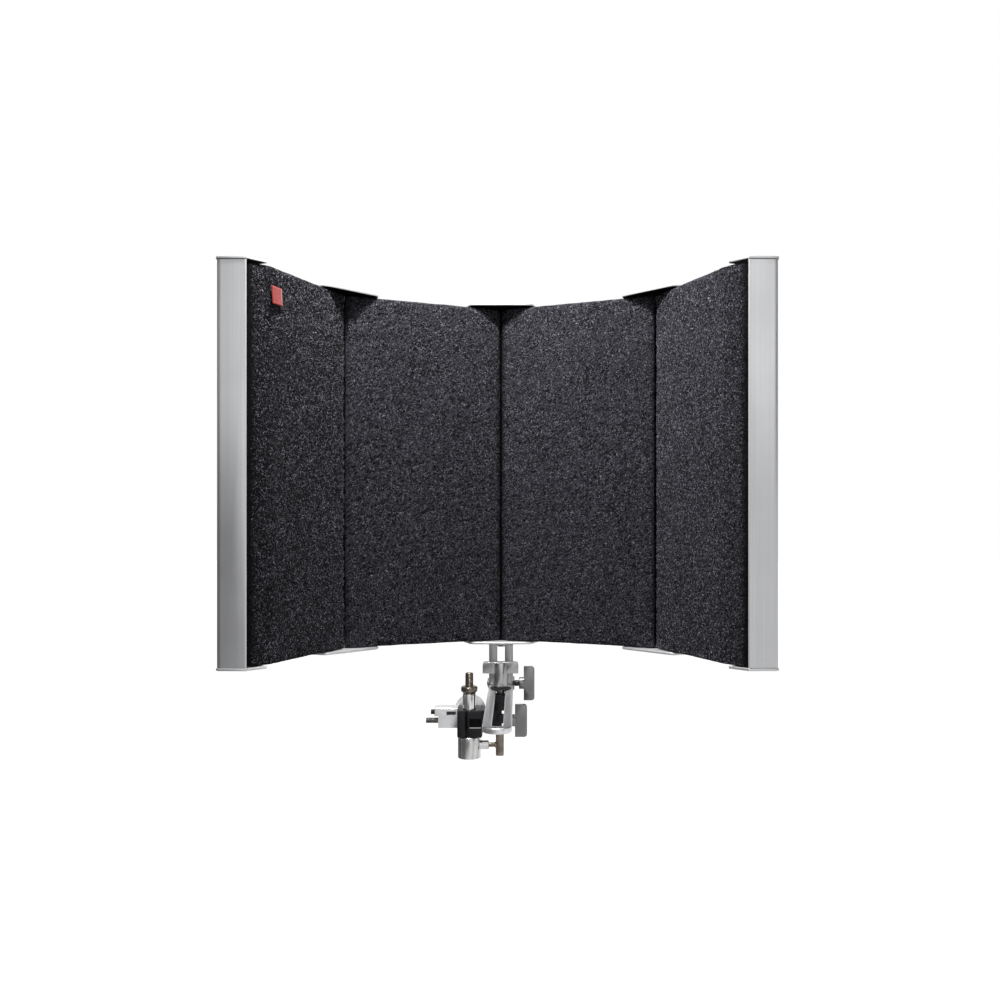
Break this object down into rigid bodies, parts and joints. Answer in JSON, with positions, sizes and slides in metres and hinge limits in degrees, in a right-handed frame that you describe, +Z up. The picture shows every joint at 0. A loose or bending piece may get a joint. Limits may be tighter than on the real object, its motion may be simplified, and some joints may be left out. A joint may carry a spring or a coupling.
{
  "type": "microphone isolation shield",
  "caption": "Concave microphone isolation shield of felt-lined metal panels, carried on a slotted arm with tilt fork and a post clamp with a mic stud.",
  "frame": {"origin": "centre of the mic stud's top face", "axes": "+Z up along the mic post, +Y from the microphone towards the back of the shield, +X to the right seen from the microphone"},
  "size_m": [0.578, 0.308, 0.558],
  "materials": {
    "felt": "fuzzy charcoal wool felt",
    "foil": "bright foil",
    "wool_core": "dense wool",
    "perforated_sheet": "satin sheet with round perforations",
    "brushed_pillar": "lengthwise brushed satin",
    "satin_cap": "satin",
    "screw_steel": "plain steel",
    "fork_alloy": "grey satin",
    "arm_alloy": "light satin",
    "knob_alloy": "machined satin",
    "black_rubber": "matte",
    "black_cast": "semi-matte black",
    "black_rod": "black oxide",
    "chrome_post": "polished",
    "satin_socket": "satin nickel",
    "dark_nickel": "warm dark nickel",
    "red_tag": "plain woven tag"
  },
  "bodies": {
    "stand_clamp": {"stand_socket": "satin_socket", "mic_post": "chrome_post", "clamp_body": "black_cast", "guide_rod": "black_rod", "clamp_disc": "arm_alloy"},
    "swivel": {"swivel_collar": "black_cast", "arm_washer": "black_rubber"},
    "arm": {"slotted_arm": "arm_alloy", "tilt_nut": "screw_steel", "tilt_washer": "black_rubber"},
    "shield": {"cap_bottom_centre": "satin_cap", "cap_bottom_left": "satin_cap", "cap_bottom_left_end": "satin_cap", "cap_bottom_right": "satin_cap", "cap_bottom_right_end": "satin_cap", "cap_top_centre": "satin_cap", "cap_top_left": "satin_cap", "cap_top_left_end": "satin_cap", "cap_top_right": "satin_cap", "cap_top_right_end": "satin_cap", "core_left_inner": "wool_core", "core_left_outer": "wool_core", "core_right_inner": "wool_core", "core_right_outer": "wool_core", "fabric_tag": "red_tag", "felt_left_inner": "felt", "felt_left_outer": "felt", "felt_right_inner": "felt", "felt_right_outer": "felt", "foil_left_inner": "foil", "foil_left_outer": "foil", "foil_right_inner": "foil", "foil_right_outer": "foil", "fork_bolt": "screw_steel", "pillar_centre": "brushed_pillar", "pillar_left": "brushed_pillar", "pillar_left_end": "brushed_pillar", "pillar_right": "brushed_pillar", "pillar_right_end": "brushed_pillar", "screw_bottom_left": "screw_steel", "screw_bottom_left_end": "screw_steel", "screw_bottom_right": "screw_steel", "screw_bottom_right_end": "screw_steel", "screw_top_centre": "screw_steel", "screw_top_left": "screw_steel", "screw_top_left_end": "screw_steel", "screw_top_right": "screw_steel", "screw_top_right_end": "screw_steel", "sheet_left_inner": "perforated_sheet", "sheet_left_outer": "perforated_sheet", "sheet_right_inner": "perforated_sheet", "sheet_right_outer": "perforated_sheet", "tilt_fork": "fork_alloy"},
    "arm_knob": {"arm_knob": "knob_alloy"},
    "tilt_knob": {"tilt_knob": "knob_alloy"},
    "clamp_knob": {"clamp_knob": "knob_alloy"},
    "jaw": {"clamp_jaw": "black_cast", "jaw_carrier": "arm_alloy"},
    "post_nut": {"post_nut": "dark_nickel"},
    "lock_screw": {"lock_screw": "dark_nickel"}
  },
  "joints": [
    {"name": "arm_swivel", "type": "hinge", "parent": "stand_clamp", "child": "swivel", "pos_m": [0.038, 0.004, -0.0205], "axis": [0, 0, 1], "range_deg": [-30, 30]},
    {"name": "arm_slide", "type": "slide", "parent": "swivel", "child": "arm", "axis": [0, 1, 0], "range_m": [0, 0.2]},
    {"name": "shield_tilt", "type": "hinge", "parent": "arm", "child": "shield", "pos_m": [0.038, 0.04, -0.0195], "axis": [1, 0, 0], "range_deg": [-15, 15]},
    {"name": "arm_knob_turn", "type": "hinge", "parent": "swivel", "child": "arm_knob", "pos_m": [0.038, 0.004, -0.0183], "axis": [0, 0, 1], "range_deg": [-180, 180]},
    {"name": "tilt_knob_turn", "type": "hinge", "parent": "arm", "child": "tilt_knob", "pos_m": [0.0605, 0.04, -0.0195], "axis": [1, 0, 0], "range_deg": [-180, 180]},
    {"name": "clamp_knob_turn", "type": "hinge", "parent": "stand_clamp", "child": "clamp_knob", "pos_m": [0.049, 0.017, -0.0615], "axis": [1, 0, 0], "range_deg": [0, 1450]},
    {"name": "jaw_slide", "type": "slide", "parent": "stand_clamp", "child": "jaw", "axis": [-1, 0, 0], "range_m": [0, 0.005]},
    {"name": "post_nut_turn", "type": "hinge", "parent": "stand_clamp", "child": "post_nut", "pos_m": [0, 0, -0.02], "axis": [0, 0, 1], "range_deg": [-180, 180]},
    {"name": "lock_screw_turn", "type": "hinge", "parent": "stand_clamp", "child": "lock_screw", "pos_m": [0.02, 0, -0.0875], "axis": [1, 0, 0], "range_deg": [-180, 180]}
  ],
  "couplings": [
    {"joint": "clamp_knob_turn", "follows": "jaw_slide", "rad_per_m": 5026.5}
  ]
}
